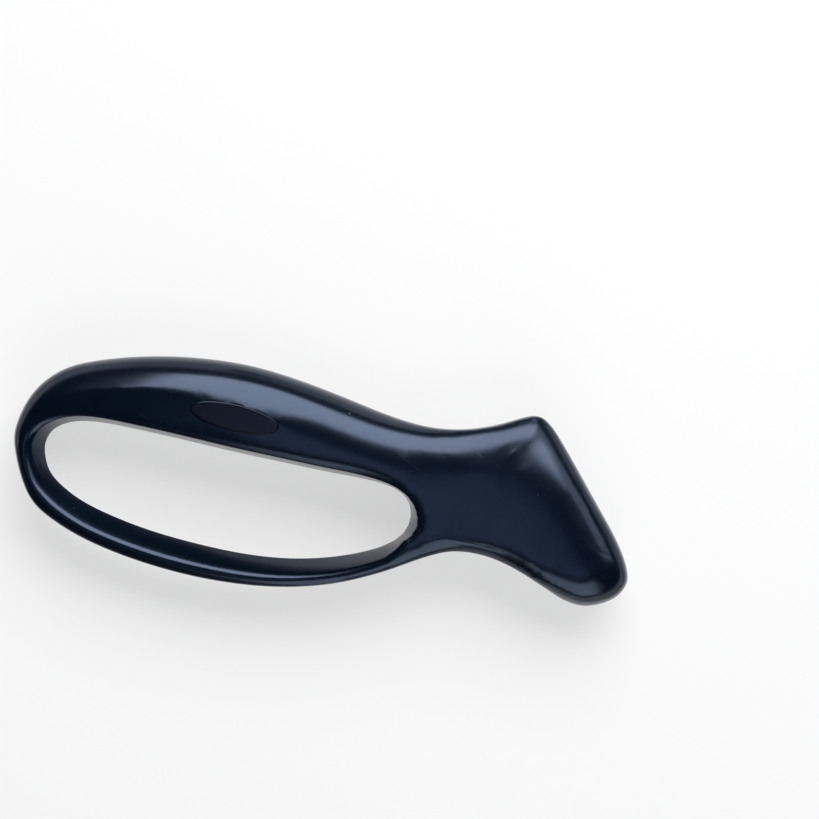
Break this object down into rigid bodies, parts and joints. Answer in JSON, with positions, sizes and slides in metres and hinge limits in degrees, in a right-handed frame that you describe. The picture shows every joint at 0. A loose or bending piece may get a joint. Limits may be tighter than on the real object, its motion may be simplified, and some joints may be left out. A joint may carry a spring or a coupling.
{
  "type": "knife sharpener",
  "caption": "Hand-held pull-through knife sharpener with a closed finger loop, a flat-sided head and a slotted nose holding crossed carbide cutters.",
  "frame": {"origin": "under the middle of the part as it lies on its flat side", "axes": "+X from the back of the finger loop to the front of the nose, +Y from the nose's tip up to the grip, +Z across the thickness, up from the flat side it lies on"},
  "size_m": [0.1643, 0.0669, 0.021],
  "materials": {
    "shell": "satin moulded plastic with a fine grain",
    "badge": "smooth, bare",
    "carrier": "glass-filled moulding",
    "carbide": "ground carbide",
    "steel": "plain zinc-plated steel"
  },
  "bodies": {
    "root": {"near_shell": "shell", "far_shell": "shell", "badge_plate": "badge", "cutter_carrier": "carrier", "front_cutter": "carbide", "rear_cutter": "carbide", "clamp_plate": "steel", "clamp_screws": "steel", "carrier_pin": "steel", "shell_screws": "steel"}
  },
  "joints": []
}
